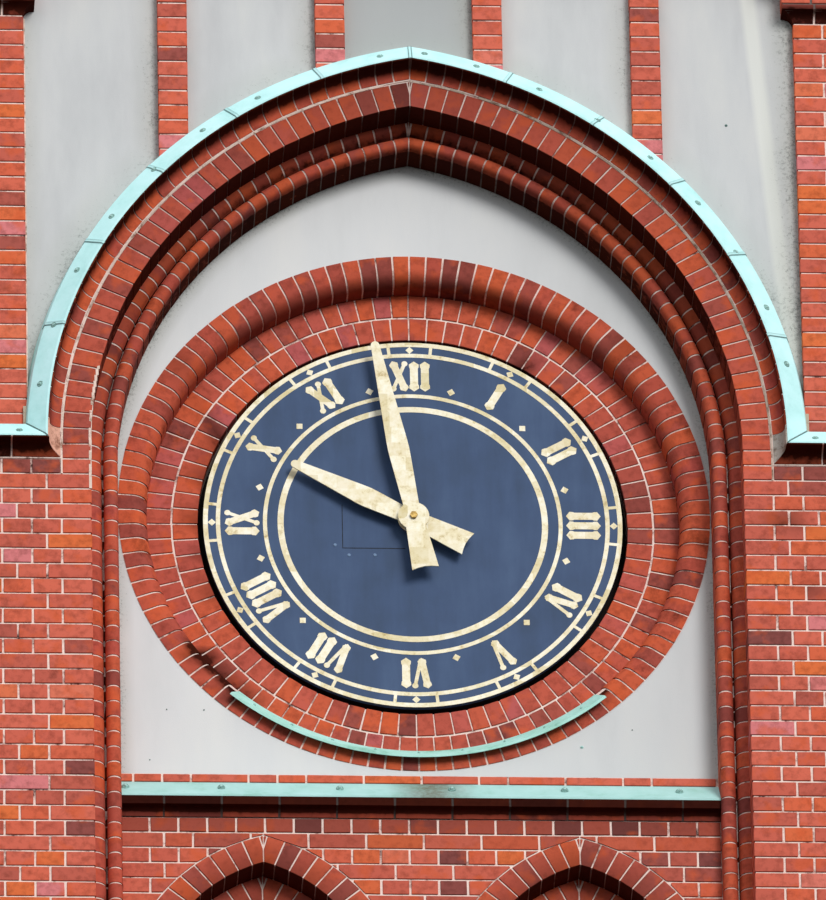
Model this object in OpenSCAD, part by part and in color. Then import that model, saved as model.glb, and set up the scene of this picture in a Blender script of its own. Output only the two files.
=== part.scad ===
// Clock bay of a brick tower, front facing -Y, in millimetres.
// A pointed recess in two moulded orders holds a dial in a sunk brick ring.
// A label and a string course with copper weathering frame it, sunk plaster panels
// stand above it and two blind lancets below. The origin is the middle of the base bed.

/* [Wall] */
// Height of one brick course with its bed joint
course = 75; // [70:1:80]
// Thickness of the whole wall
wall_t = 770; // [720:10:1000]
// Width of each upper pier
pier_w = 510; // [380:10:770]
// Height of the dial centre above the base
dial_height = 3600; // [3550:1:3900]
// Height of the plain base under the recess
base_h = 375; // [200:1:450]
// Rise of the sloping foot of the recess
foot_rise = 145; // [80:1:200]
// Courses from the dial centre to the foot of the pier corbels
corbel_courses = 31; // [30:1:36]
// Projection of each corbel step
corbel_out = 50; // [30:1:60]
// Courses of closing wall over the panels
closing_courses = 3; // [1:1:6]

/* [Recess] */
// Joint between the roll round the dial and the bowtell of the jamb
jamb_gap = 6; // [3:1:20]
// Springing of the arch above the dial centre
spring_rise = 150; // [130:1:200]
// Distance of each arc centre beyond the centre line
arc_shift = 344; // [300:1:380]
// Radial width of the voussoirs of the outer order
order_w = 120; // [100:1:130]
// Depth of the voussoirs of the outer order
order_deep = 250; // [220:1:300]
// Depth of the rolls behind the wall face
roll_d = 140; // [120:1:150]
// Width of the roll order
roll_order_w = 125; // [123:1:128]
// Radius of the quarter roll
quarter_r = 50; // [40:1:52]
// Radius of the bowtell on the inner edge
bowtell_r = 29; // [24:1:32]
// Width of the groove between the rolls
groove_w = 12; // [8:1:14]
// Depth of the plaster of the tympanum behind the wall face
tympanum_d = 305; // [295:1:320]
// Thickness of the plaster
plaster_t = 20; // [12:1:25]

/* [Label] */
// Flat margin between the outer order and the cavetto
label_margin = 4; // [3:1:12]
// Radius of the cavetto
cavetto_r = 58; // [40:1:64]
// Depth of the fillets on both sides of the cavetto
fillet = 5; // [3:1:8]
// Width of the lip in front of the cavetto
lip_w = 12; // [8:1:20]
// Flat under the lip, before the cavetto
lip_under = 32; // [5:1:32]
// Height of the lip of the string above the dial centre
string_rise = 145; // [130:1:150]
// Rise of the steep slope over the lip, up to its crest
slope_rise = 77.5; // [60:0.5:90]
// Distance of the crest before the wall face
crest_out = 40; // [20:1:60]
// Rise of the flat slope behind the crest for each millimetre of depth
flat_ratio = 0.25; // [0.1:0.05:0.5]
// Distance from the lip of the label to the pier
pier_gap = 82.5; // [75:0.5:110]
// Thickness of the copper sheet with its laps
copper_t = 3; // [2:0.5:4]
// Depth of the drip on each copper sheet
drip = 8; // [5:1:9]

/* [Panels] */
// Depth of the sunk plaster panels
panel_d = 45; // [30:1:60]
// Width of a mullion
mullion_w = 120; // [100:1:140]
// Distance between the centre lines of the mullions
mullion_pitch = 695; // [660:1:740]

/* [Sill] */
// Plaster below the ring
sliver = 23; // [12:1:40]
// Height of the brick strip over the copper of the sill
strip_h = 45; // [35:1:50]
// Depth of the lip of the sill behind the wall face
sill_lip_d = 180; // [170:1:190]
// Height of the lip of the sill above its cavetto
sill_face_h = 47; // [30:1:60]
// Depth of the wall below the sill
band_d = 230; // [222:1:240]

/* [Lancets] */
// Gap between the header ring of a lancet and the jamb
lancet_side_gap = 16; // [8:1:40]
// Half of the clear width of the outer order
lancet_half = 480; // [440:1:490]
// Distance of each arc centre beyond the axis of the lancet
lancet_shift = 200; // [150:1:240]
// Radial width of the header ring
lancet_ring_w = 120; // [100:1:130]
// Gap between the header ring and the foot of the sill
lancet_top_gap = 90; // [77:1:160]
// Width of the inner order
lancet_inner_w = 120; // [90:1:140]
// Depth of the first step of a lancet
lancet_step = 130; // [100:1:150]
// Depth of the second step of a lancet
lancet_back = 120; // [100:1:140]
// Height of the sill of a lancet above the base
lancet_sill_h = 675; // [640:1:760]

/* [Ring] */
// Radial width of the flat ring
flat_w = 227.5; // [200:0.5:240]
// Radial width of the bricks of the roll
roll_w = 124; // [110:1:130]
// Radius of the bullnose of the roll
nose_r = 64; // [50:1:75]
// Depth of the flat ring behind the wall face
ring_d = 432; // [415:1:450]
// Depth of the bricks of the ring
ring_deep = 120; // [100:1:130]
// Open joint between the dial and the flat ring
ring_gap = 26; // [15:1:35]
// Overhang of the dial over the wall that it stands on
dial_lap = 14; // [8:1:20]
// Half of the angle that the copper apron covers
apron_half = 41; // [30:1:60]
// Slope of the apron from the level
apron_slope = 39; // [31:1:50]
// Depth of its drip before the face of the roll
apron_out = 44; // [20:1:70]
// Height of its drip
apron_drip = 8; // [4:1:12]

/* [Dial] */
// Radius of the dial
dial_r = 917.5; // [900:0.5:940]
// Depth of the rim of the dial
dial_rim = 22; // [14:1:40]
// Thickness of the dial sheet
dial_t = 3; // [2:0.5:6]
// Thickness of the gilding with its ground
gilt_t = 1; // [0.5:0.5:2]
// Width of the outer gilt ring
ring_a_w = 21; // [16:1:26]
// Width of the minute track between the two outer gilt rings
track_w = 34.5; // [24:0.5:36]
// Width of the second gilt ring
ring_b_w = 19; // [14:1:24]
// Gap between the thin gilt ring and the feet of the numerals
foot_gap = 15; // [10:1:30]
// Width of the thin gilt ring
ring_c_w = 18; // [12:1:24]
// Gap between the two inner gilt rings
inner_gap = 46; // [30:1:60]
// Width of the thick gilt ring
ring_d_w = 27; // [18:1:34]
// Gap between the second gilt ring and the heads of the numerals
head_gap = 20; // [8:1:24]
// Height of the numerals
numeral_h = 152; // [130:1:160]
// Width of a thick stroke
stroke_w = 35; // [28:1:38]
// Pitch of the strokes of a numeral
stroke_pitch = 48; // [44:1:52]

/* [Hands] */
// Radius of the bearing bore in the tube through the wall
bearing_r = 34; // [30:1:38]
// Wall of the bearing tube
tube_wall = 11; // [8:1:13]
// Radius of the minute arbor
arbor_r = 18; // [14:1:20]
// Running clearance of the pipe and the arbor, on the radius
running = 0.05; // [0.02:0.01:0.1]
// Thickness of a hand
hand_t = 6; // [4:1:8]
// Gap between the dial and the hour hand
hour_gap = 45; // [30:1:60]
// Gap between the two hands
hand_gap = 20; // [12:1:30]
// Radius of the hub discs
hub_r = 68; // [60:1:76]
// Gap between the tip of the minute hand and the edge of the dial
minute_short = 24.5; // [10:0.5:60]
// Reach of the hour hand over the thick gilt ring
hour_over = 7; // [0:1:30]
// Length of the tails
tail_len = 273; // [220:1:320]
// Widest width of the minute hand
minute_belly = 94; // [80:1:110]
// Widest width of the hour hand
hour_belly = 98; // [80:1:110]
// Width of a hand at its tip
tip_w = 38; // [24:1:50]
// Width of a tail at its end
tail_w = 118; // [90:1:130]
// Half of the width of a tail at the centre
tail_root = 40; // [30:1:50]
// Depth of the notch in a tail
notch = 16; // [8:1:24]
// Turn of the minute hand from twelve, clockwise from the front
minute_turn = -10.2; // [-180:0.1:180]
// Turn of the hour hand from twelve, clockwise from the front
hour_turn = -62.2; // [-180:0.1:180]
// Length of the arbor behind the wall
arbor_tail = 90; // [60:1:140]

/* [Hidden] */

$fn = 96;
brick = "#b4523d";
dark_brick = "#8d4032";
plaster = "#c9ccd0";
copper = "#a9dccf";
slate_blue = "#4a5c7c";
gold = "#e9d9a6";
brass = "#b08d4a";

far = 9000;
over = 1;
face_y = -wall_t / 2;
dial_z = dial_height;
spring_z = dial_z + spring_rise;
string_z = dial_z + string_rise;
corbel_z = dial_z + corbel_courses * course;
closing_z = corbel_z + 3 * course;
top_z = closing_z + closing_courses * course;

ring_inner_r = dial_r + ring_gap;
roll_inner_r = ring_inner_r + flat_w;
ring_r = roll_inner_r + roll_w;
roll_half = ring_r + jamb_gap;
recess_half = roll_half + roll_order_w;
recess_r = recess_half + arc_shift;
order_r = recess_r + order_w;
roll_r = recess_r - roll_order_w;
core_d = tympanum_d + plaster_t;
panel_back_d = panel_d + plaster_t;

lip_out = fillet + cavetto_r + lip_under;
lip_r = order_r + label_margin + cavetto_r + lip_w;
lip_half = lip_r - arc_shift;
slope_ratio = slope_rise / (lip_out - crest_out);
wall_rise = slope_rise + crest_out * flat_ratio;
panel_rise = wall_rise + panel_d * flat_ratio;
copper_rise = copper_t * sqrt(1 + slope_ratio * slope_ratio);
copper_flat = copper_t * sqrt(1 + flat_ratio * flat_ratio);
crest_shift = (copper_rise - copper_flat) / (slope_ratio - flat_ratio);
bay_half = lip_half + pier_gap;
half_w = bay_half + pier_w;
copper_lip_r = lip_r + copper_rise - copper_t * slope_ratio;

strip_top_z = dial_z - ring_r - sliver;
slope_top_z = strip_top_z - strip_h;
sill_lip_z = slope_top_z - (tympanum_d - sill_lip_d);
sill_hollow_r = band_d - sill_lip_d - 2 * fillet;
sill_foot_z = sill_lip_z - sill_face_h - sill_hollow_r;

lancet_r = lancet_half + lancet_shift;
lancet_out_r = lancet_r + lancet_ring_w;
lancet_x = roll_half - lancet_side_gap - lancet_half - lancet_ring_w;
lancet_apex = sqrt(lancet_out_r * lancet_out_r - lancet_shift * lancet_shift);
lancet_spring_z = sill_foot_z - lancet_top_gap - lancet_apex;
lancet_inner_r = lancet_r - lancet_inner_w;
lancet_end_d = band_d + lancet_step + lancet_back;

nose_d = tympanum_d + nose_r;
pocket_d = ring_d + ring_deep;
dial_d = ring_d - dial_rim;
tube_r = bearing_r + tube_wall;
hour_d = dial_d - hour_gap - hand_t;
minute_d = hour_d - hand_gap - hand_t;
pipe_r = bearing_r - running;
nut_t = 12;
nut_af = 30;
collar_t = 15;
collar_w = 25;
arbor_collar_w = 12;
tube_rest = 8;
back_d = wall_t;
gap_behind = 1;
ring_b_r = dial_r - ring_a_w - track_w;
numeral_r = ring_b_r - ring_b_w - head_gap - numeral_h;
ring_c_r = numeral_r - foot_gap;
ring_d_r = ring_c_r - ring_c_w - inner_gap;
minute_len = dial_r - minute_short;
hour_len = ring_d_r + hour_over;

// Right side for side = 1, left side for side = -1
module on_side(side) {
    if (side > 0) children();
    else mirror([1, 0, 0]) children();
}

// Extrude an outline drawn in x and z between two depths behind the wall face
module between(near, back) {
    translate([0, face_y + back, 0])
        rotate([90, 0, 0])
        linear_extrude(back - near) children();
}

// A box given by its x, depth and z ranges
module block(x0, x1, d0, d1, z0, z1) {
    translate([x0, face_y + d0, z0]) cube([x1 - x0, d1 - d0, z1 - z0]);
}

// Sweep a profile of radius and depth round the right arc, from the springing to the apex
module arch_sweep() {
    intersection() {
        translate([-arc_shift, face_y, spring_z])
            rotate([90, 0, 0])
            rotate_extrude(angle = 88, $fn = 180) mirror([0, 1]) children();
        block(0, far, -far / 2, far / 2, spring_z, spring_z + far);
    }
}

// Run the same profile down a straight jamb from the springing
module jamb_run(z0) {
    translate([-arc_shift, face_y, z0]) linear_extrude(spring_z - z0) children();
}

// Run the same profile level, with the lip at the height of the string
module level_run(x0, x1) {
    translate([x0, face_y, string_z - lip_r])
        rotate([90, 0, 90])
        linear_extrude(x1 - x0) mirror([1, 0]) rotate(90) children();
}

// Half space on the arch side of the mitre, or on the string side
module mitre(arch_side) {
    turn = arch_side ? 45 : -135;
    translate([lip_half, 0, string_z])
        rotate([0, -turn, 0])
        translate([-far / 2, -far / 2, 0]) cube([far, far, far]);
}

// Outline of a pointed arch from its springing up, drawn in x and z
module arch(r, shift, spring) {
    intersection() {
        translate([-shift, spring]) circle(r, $fn = 180);
        translate([shift, spring]) circle(r, $fn = 180);
        translate([-r, spring]) square([2 * r, r]);
    }
}

// Outline of a pointed opening: an arch of radius r on a straight part
module pointed(half, r, shift, z0, spring) {
    translate([-half, z0]) square([2 * half, spring - z0]);
    arch(r, shift, spring);
}

// Front of the label in radius and depth: cavetto, lip and slopes before the wall face
module label_front() {
    foot_r = order_r + label_margin;
    difference() {
        polygon([[foot_r, 0], [foot_r, -lip_out], [lip_r, -lip_out],
            [lip_r + slope_rise, -crest_out], [lip_r + wall_rise, 0]]);
        translate([foot_r, -fillet - cavetto_r]) circle(cavetto_r);
        translate([foot_r - over, -lip_out - over])
            square([cavetto_r + over, lip_under + over]);
    }
}

// Back of the label, in the wall
module label_back() {
    slope_end = lip_r + panel_rise;
    polygon([[order_r, panel_back_d], [order_r, 0], [lip_r + wall_rise, 0],
        [slope_end, panel_d], [slope_end + copper_flat, panel_d],
        [slope_end + copper_flat, panel_back_d]]);
}

// Upper face of the copper from its drip back to the panels
copper_top = [[lip_r - drip, -lip_out - copper_t], [copper_lip_r, -lip_out - copper_t],
    [lip_r + slope_rise + copper_flat - flat_ratio * crest_shift, -crest_out - crest_shift],
    [lip_r + panel_rise + copper_flat, panel_d]];

// Profile of the copper on the slopes of the label
module copper_profile() {
    polygon(concat([[lip_r - drip, -lip_out]], copper_top, [[lip_r + panel_rise, panel_d],
        [lip_r + slope_rise, -crest_out], [lip_r, -lip_out]]));
}

// Everything on and inside the upper face of the copper
module under_slope_profile() {
    polygon([[0, panel_back_d + over], [0, -far / 4], [copper_lip_r, -far / 4],
        copper_top[1], copper_top[2], copper_top[3],
        [lip_r + panel_rise + copper_flat, panel_back_d + over]]);
}

// Profile of the roll order: quarter roll, groove and bowtell
module roll_profile() {
    bowtell_c = roll_r + bowtell_r;
    quarter_c = roll_r + 2 * bowtell_r + groove_w + quarter_r;
    floor_d = roll_d + quarter_r;
    translate([roll_r, floor_d]) square([roll_order_w, core_d - floor_d]);
    translate([bowtell_c, roll_d + bowtell_r]) circle(bowtell_r, $fn = 64);
    translate([roll_r, roll_d + bowtell_r]) square([2 * bowtell_r, floor_d - roll_d]);
    intersection() {
        translate([quarter_c, floor_d]) circle(quarter_r, $fn = 64);
        translate([quarter_c - quarter_r, roll_d]) square([quarter_r, quarter_r + over]);
    }
    translate([quarter_c, roll_d]) square([recess_r - quarter_c, quarter_r + over]);
}

// Plain base with the sloping foot of the recess between the jambs
module base_wall() {
    color(brick) {
        block(-half_w, half_w, 0, wall_t, 0, base_h);
        difference() {
            translate([-recess_half, face_y, base_h])
                rotate([90, 0, 90])
                linear_extrude(2 * recess_half)
                polygon([[0, -over], [0, 0], [band_d, foot_rise], [band_d, -over]]);
            for (side = [-1, 1]) on_side(side)
                translate([-arc_shift, face_y, base_h - 2 * over])
                    linear_extrude(foot_rise + 4 * over) roll_profile();
        }
    }
}

// Pocket of one lancet at its own axis, with room for the header ring
module lancet_pocket() {
    back_d = lancet_end_d + plaster_t;
    difference() {
        union() {
            between(band_d - over, band_d + lancet_step)
                pointed(lancet_half, lancet_out_r, lancet_shift, base_h, lancet_spring_z);
            between(band_d, back_d)
                pointed(lancet_inner_r - lancet_shift, lancet_inner_r, lancet_shift,
                    base_h, lancet_spring_z);
        }
        translate([-lancet_half - over, face_y, 0])
            rotate([90, 0, 90])
            linear_extrude(2 * lancet_half + 2 * over)
            polygon([[band_d - 2 * over, lancet_sill_h], [back_d + over, lancet_sill_h + foot_rise],
                [back_d + over, 0], [band_d - 2 * over, 0]]);
    }
}

module lancet_wall() {
    color(brick) difference() {
        union() {
            block(-recess_half, recess_half, core_d, wall_t, base_h, sill_foot_z);
            block(-roll_half, roll_half, band_d, core_d, base_h, sill_foot_z);
        }
        for (side = [-1, 1]) translate([side * lancet_x, 0, 0]) lancet_pocket();
    }
}

// Header ring over one lancet
module lancet_ring(side) {
    color(dark_brick) translate([side * lancet_x, 0, 0])
        between(band_d, band_d + lancet_step) difference() {
            arch(lancet_out_r, lancet_shift, lancet_spring_z);
            arch(lancet_r, lancet_shift, lancet_spring_z);
        }
}

module lancet_plaster() {
    color(plaster) for (side = [-1, 1]) translate([side * lancet_x, 0, 0])
        intersection() {
            lancet_pocket();
            block(-far, far, lancet_end_d, lancet_end_d + plaster_t, 0, far);
        }
}

// A round hole along the depth at the dial centre
module bored(r, near, back, fn = 180) {
    translate([0, face_y + near, dial_z]) rotate([-90, 0, 0])
        cylinder(h = back - near, r = r, $fn = fn);
}

// Wall behind the ring and the dial, which stands on its round core
module clock_wall() {
    color(brick) difference() {
        between(ring_d, wall_t)
            pointed(recess_half, recess_r, arc_shift, sill_foot_z, spring_z);
        difference() {
            bored(ring_r, ring_d - over, pocket_d);
            bored(dial_r - dial_lap, 0, wall_t);
        }
        bored(tube_r, 0, wall_t + over, 64);
    }
}

// Wall behind the tympanum, in front of the clock wall and round the ring
module tympanum_wall() {
    color(brick) difference() {
        between(core_d, ring_d)
            pointed(recess_half, recess_r, arc_shift, sill_foot_z, spring_z);
        bored(ring_r, 0, wall_t);
    }
}

module side_wall(side) {
    color(brick) on_side(side)
        block(recess_half, half_w, 0, wall_t, base_h, spring_z);
}

module upper_wall(side) {
    color(brick) on_side(side) difference() {
        block(0, bay_half, panel_back_d, wall_t, spring_z, closing_z);
        translate([-arc_shift, face_y, spring_z]) rotate([-90, 0, 0]) {
            cylinder(h = wall_t + over, r = recess_r, $fn = 180);
            cylinder(h = order_deep, r = order_r, $fn = 180);
        }
    }
}

module pier(side) {
    color(brick) on_side(side)
        block(bay_half, half_w, 0, wall_t, spring_z, corbel_z);
}

// Projection of the corbel steps, drawn to the left of the pier edge, with its foot at 0
module corbel_edge(depth) {
    hollow = corbel_out;
    difference() {
        polygon([[depth, 0], [depth, top_z - corbel_z], [-2 * corbel_out, top_z - corbel_z],
            [-2 * corbel_out, 2 * course], [-corbel_out, 2 * course], [-corbel_out, 0]]);
        translate([-hollow, 0]) circle(hollow, $fn = 64);
        translate([-hollow - corbel_out, 2 * course]) circle(hollow, $fn = 64);
    }
}

module impost(side) {
    color(brick) on_side(side) difference() {
        intersection() {
            translate([bay_half - far / 2, face_y, corbel_z])
                rotate([90, 0, 90])
                linear_extrude(far / 2 + pier_w) corbel_edge(wall_t);
            translate([bay_half, face_y + wall_t, corbel_z])
                rotate([90, 0, 0])
                linear_extrude(far / 2) corbel_edge(pier_w);
        }
        block(0, bay_half, panel_d, wall_t + over, corbel_z - over, closing_z);
    }
}

module closing_wall() {
    reach = bay_half - 2 * corbel_out;
    color(brick) block(-reach, reach, 0, wall_t, closing_z, top_z);
}

module outer_order(side) {
    color(brick) on_side(side)
        arch_sweep() translate([recess_r, 0]) square([order_w, order_deep]);
}

module roll_order(side) {
    color(dark_brick) on_side(side) arch_sweep() roll_profile();
}

module jamb(side) {
    color(dark_brick) on_side(side) jamb_run(base_h) roll_profile();
}

// The straight foot of the label, down to its mitre with the string
module label_foot() {
    intersection() {
        jamb_run(string_z - lip_r) children();
        block(0, far, -far, 0, 0, spring_z);
        mitre(true);
    }
}

// The arch part of a moulding, stopped by the pier
module label_arch() {
    difference() {
        arch_sweep() children();
        block(bay_half, far, 0, far / 2, 0, far);
    }
}

module label(side) {
    color(brick) on_side(side) {
        label_arch() label_back();
        intersection() {
            label_arch() label_front();
            mitre(true);
        }
        label_foot() label_front();
    }
}

module string(side) {
    color(brick) on_side(side) intersection() {
        level_run(recess_half, half_w) label_front();
        block(0, half_w, -far, 0, 0, far);
        mitre(false);
    }
}

module copper_side(side) {
    color(copper) on_side(side) {
        intersection() {
            label_arch() copper_profile();
            mitre(true);
        }
        label_foot() copper_profile();
        intersection() {
            level_run(recess_half, half_w) copper_profile();
            block(0, half_w, -far, 0, 0, far);
            mitre(false);
        }
    }
}

module mullions() {
    color(brick) for (side = [-1, 1]) on_side(side) difference() {
        for (i = [0, 1]) {
            x = (i + 0.5) * mullion_pitch;
            block(x - mullion_w / 2, x + mullion_w / 2, 0, panel_back_d, spring_z, closing_z);
        }
        arch_sweep() under_slope_profile();
    }
}

// Points just clear of the back edge of the copper on the right side, a degree or less apart
function copper_edge(x0, x1) =
    let (r = lip_r + panel_rise + copper_flat + 4 * running, a0 = acos((x0 + arc_shift) / r),
        a1 = acos((x1 + arc_shift) / r), steps = ceil(a0 - a1))
    [for (i = [0 : steps]) let (a = a0 + (a1 - a0) * i / steps)
        [r * cos(a) - arc_shift, spring_z + r * sin(a)]];

// Plaster on the right side between two x positions, down to the copper
module panel(x0, x1) {
    between(panel_d, panel_back_d)
        polygon(concat([[x1, closing_z], [x0, closing_z]], copper_edge(x0, x1)));
}

module panel_plaster() {
    inner = mullion_pitch / 2;
    outer = inner + mullion_pitch;
    rim = mullion_w / 2;
    color(plaster) for (side = [-1, 1]) on_side(side) {
        panel(0, inner - rim);
        panel(inner + rim, outer - rim);
        panel(outer + rim, bay_half);
    }
}

module tympanum() {
    color(plaster) between(tympanum_d, core_d) difference() {
        pointed(roll_half, roll_r, arc_shift, strip_top_z, spring_z);
        translate([0, dial_z]) circle(ring_r, $fn = 360);
    }
}

// Sweep a profile of radius and depth round the dial
module dial_sweep(angle = 360) {
    translate([0, face_y, dial_z])
        rotate([90, 0, 0])
        rotate(-90 - angle / 2)
        rotate_extrude(angle = angle, $fn = 180) mirror([0, 1]) children();
}

module ring_roll() {
    color(dark_brick) dial_sweep() {
        translate([roll_inner_r, nose_d]) square([roll_w, pocket_d - nose_d]);
        translate([roll_inner_r + nose_r, tympanum_d])
            square([roll_w - nose_r, nose_r + over]);
        intersection() {
            translate([roll_inner_r + nose_r, nose_d]) circle(nose_r, $fn = 64);
            translate([roll_inner_r, tympanum_d]) square([nose_r + over, nose_r + over]);
        }
    }
}

module ring_flat() {
    color(brick) dial_sweep()
        translate([ring_inner_r, ring_d])
        square([roll_inner_r - ring_inner_r, ring_deep]);
}

// Copper over the lower part of the roll, from the flat ring over the nose to a free drip
module ring_apron() {
    nose_c = roll_inner_r + nose_r;
    lay = 4 * running;
    under_r = nose_r + lay;
    run = nose_d - under_r * sin(apron_slope) - tympanum_d + apron_out;
    tip = [nose_c - under_r * cos(apron_slope) + run * tan(apron_slope), tympanum_d - apron_out];
    skin = copper_t / cos(apron_slope);
    fold = copper_t * tan(apron_slope);
    color(copper) dial_sweep(2 * apron_half) {
        translate([roll_inner_r - lay - copper_t, nose_d])
            square([copper_t, ring_d - nose_d]);
        polygon(concat(
            [for (a = [0 : 3 : apron_slope]) nose_point(nose_c, under_r + copper_t, a)],
            [[tip[0] - skin, tip[1]], [tip[0] + apron_drip, tip[1]],
                [tip[0] + apron_drip, tip[1] + copper_t], [tip[0] - fold, tip[1] + copper_t]],
            [for (a = [apron_slope : -3 : 0]) nose_point(nose_c, under_r, a)]));
    }
}

// Point of the nose at an angle forward from its innermost point
function nose_point(centre, r, a) = [centre - r * cos(a), nose_d - r * sin(a)];

module sill_mould() {
    color(brick) translate([-roll_half, face_y, 0])
        rotate([90, 0, 90])
        linear_extrude(2 * roll_half)
        difference() {
            polygon([[core_d, sill_foot_z], [core_d, strip_top_z], [tympanum_d, strip_top_z],
                [tympanum_d, slope_top_z], [sill_lip_d, sill_lip_z],
                [sill_lip_d, sill_foot_z], [band_d, sill_foot_z]]);
            translate([sill_lip_d + fillet, sill_foot_z]) circle(sill_hollow_r);
            translate([sill_lip_d - over, sill_foot_z - over])
                square([fillet + over, sill_hollow_r + over]);
        }
}

module sill_copper() {
    sill_rise = copper_t * sqrt(2);
    color(copper) translate([-roll_half, face_y, 0])
        rotate([90, 0, 90])
        linear_extrude(2 * roll_half)
        polygon([[sill_lip_d, sill_lip_z - drip], [sill_lip_d - copper_t, sill_lip_z - drip],
            [sill_lip_d - copper_t, sill_lip_z + sill_rise - copper_t],
            [tympanum_d, slope_top_z + sill_rise], [tympanum_d, slope_top_z],
            [sill_lip_d, sill_lip_z]]);
}

// The dial is a shallow pan whose rim stands on the flat ring
module dial() {
    color(slate_blue) translate([0, face_y + dial_d, dial_z]) rotate([-90, 0, 0])
        difference() {
            cylinder(h = dial_rim, r = dial_r, $fn = 180);
            translate([0, 0, dial_t]) cylinder(h = dial_rim, r = dial_r - dial_t, $fn = 180);
            translate([0, 0, -over]) cylinder(h = dial_rim, r = tube_r, $fn = 64);
        }
}

// A flat gilt ring lying on the dial
module gilt_ring(r, w) {
    difference() {
        circle(r, $fn = 360);
        circle(r - w, $fn = 360);
    }
}

// Gilding lies on the face of the dial
module on_dial() {
    translate([0, 0, dial_z]) between(dial_d - gilt_t, dial_d) children();
}

module dial_gilding() {
    track = ring_b_r + track_w / 2;
    bar_w = 14;
    half_hour_r = numeral_r + 20;
    half_hour_w = 26;
    color(gold) on_dial() {
        gilt_ring(dial_r, ring_a_w);
        gilt_ring(ring_b_r, ring_b_w);
        gilt_ring(ring_c_r, ring_c_w);
        gilt_ring(ring_d_r, ring_d_w);
        for (hour = [0 : 11]) rotate(30 * hour) {
            translate([0, track]) rotate(45) square(track_w * 0.72, center = true);
            for (turn = [-6, 6]) rotate(turn)
                translate([0, track]) square([bar_w, track_w + 2 * over], center = true);
            rotate(15) translate([0, half_hour_r]) rotate(45)
                square(half_hour_w, center = true);
        }
    }
}

// One thick stroke from (x0, 0) to (x1, h), with barbed and pointed ends
module stroke(x0, x1, h, w) {
    lean = atan2(x1 - x0, h);
    len = sqrt((x1 - x0) * (x1 - x0) + h * h);
    barb = w * 0.62;
    point = w * 0.45;
    translate([x0, 0]) rotate(-lean) polygon([[0, 0], [barb, point], [barb * 0.96, point * 1.9],
        [w / 2, point * 2.3], [w / 2, len - point * 2.3], [barb * 0.96, len - point * 1.9],
        [barb, len - point], [0, len], [-barb, len - point], [-barb * 0.96, len - point * 1.9],
        [-w / 2, len - point * 2.3], [-w / 2, point * 2.3], [-barb * 0.96, point * 1.9],
        [-barb, point]]);
}

// One thin stroke with balls on its ends
module thin_stroke(x0, x1, h, w, low_ball, high_ball) {
    lean = atan2(x1 - x0, h);
    len = sqrt((x1 - x0) * (x1 - x0) + h * h);
    ball = w * 0.85;
    translate([x0, 0]) rotate(-lean) {
        translate([-w / 2, ball / 2]) square([w, len - ball]);
        if (low_ball) translate([0, ball]) circle(ball, $fn = 24);
        if (high_ball) translate([0, len - ball]) circle(ball, $fn = 24);
    }
}

// A letter takes one place for I and two for V and X
module letter(name, x) {
    v_half = 0.62 * stroke_pitch;
    thin = 0.45 * stroke_w;
    translate([x, 0]) {
        if (name == "I") stroke(0, 0, numeral_h, stroke_w);
        if (name == "V") {
            stroke(0, -v_half, numeral_h, stroke_w * 0.86);
            thin_stroke(0, v_half, numeral_h, thin, false, true);
        }
        if (name == "X") {
            stroke(v_half, -v_half, numeral_h, stroke_w * 0.9);
            thin_stroke(-v_half, v_half, numeral_h, thin, true, true);
        }
    }
}

function letter_width(name) = name == "I" ? stroke_pitch : 1.75 * stroke_pitch;
function width_before(word, i) = i == 0 ? 0 : width_before(word, i - 1) + letter_width(word[i - 1]);

module numerals() {
    words = ["XII", "I", "II", "III", "IV", "V", "VI", "VII", "VIII", "IX", "X", "XI"];
    color(gold) on_dial()
        for (hour = [0 : 11]) {
            word = words[hour];
            total = width_before(word, len(word));
            rotate(-30 * hour) translate([0, numeral_r])
                for (i = [0 : len(word) - 1])
                    letter(word[i], width_before(word, i) + letter_width(word[i]) / 2 - total / 2);
        }
}

// A rod or pipe along the depth, centred on the dial
module turned(r, near, back) {
    translate([0, face_y + near, dial_z]) rotate([-90, 0, 0])
        cylinder(h = back - near, r = r, $fn = 96);
}

module bearing_tube() {
    color(brass) difference() {
        union() {
            turned(tube_r, dial_d - tube_rest, back_d);
            turned(tube_r + collar_w, back_d, back_d + collar_t);
        }
        turned(bearing_r, 0, back_d + 2 * collar_t);
    }
}

// Clearances behind the wall let each part turn without rubbing
hour_end_d = back_d + collar_t + gap_behind + collar_t;
minute_end_d = hour_end_d + gap_behind + collar_t;

module hour_pipe() {
    color(brass) difference() {
        union() {
            turned(pipe_r, hour_d + hand_t, hour_end_d);
            turned(tube_r, back_d + collar_t + gap_behind, hour_end_d);
        }
        turned(arbor_r + running, 0, hour_end_d + over);
    }
}

module minute_arbor() {
    color(brass) {
        turned(arbor_r, minute_d + hand_t, minute_end_d + arbor_tail);
        turned(arbor_r + arbor_collar_w, hour_end_d + gap_behind, minute_end_d);
    }
}

// Right edge of a blade from its root over the belly to the round tip, going up
function blade_edge(length, belly) =
    let (belly_at = 0.38 * length, tip_z = length - tip_w / 2)
    concat([[0.34 * belly, 0], [0.485 * belly, 0.86 * belly_at], [belly / 2, belly_at],
            [0.49 * belly, 1.12 * belly_at]],
        [for (a = [0 : 15 : 90]) [tip_w / 2 * cos(a), tip_z + tip_w / 2 * sin(a)]]);

// Right edge of a tail, going down to its notch
function tail_edge() = [[tail_root, 0], [tail_w / 2, notch / 3 - tail_len],
    [tail_w / 4, notch * 0.8 - tail_len], [0, notch - tail_len]];

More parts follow.
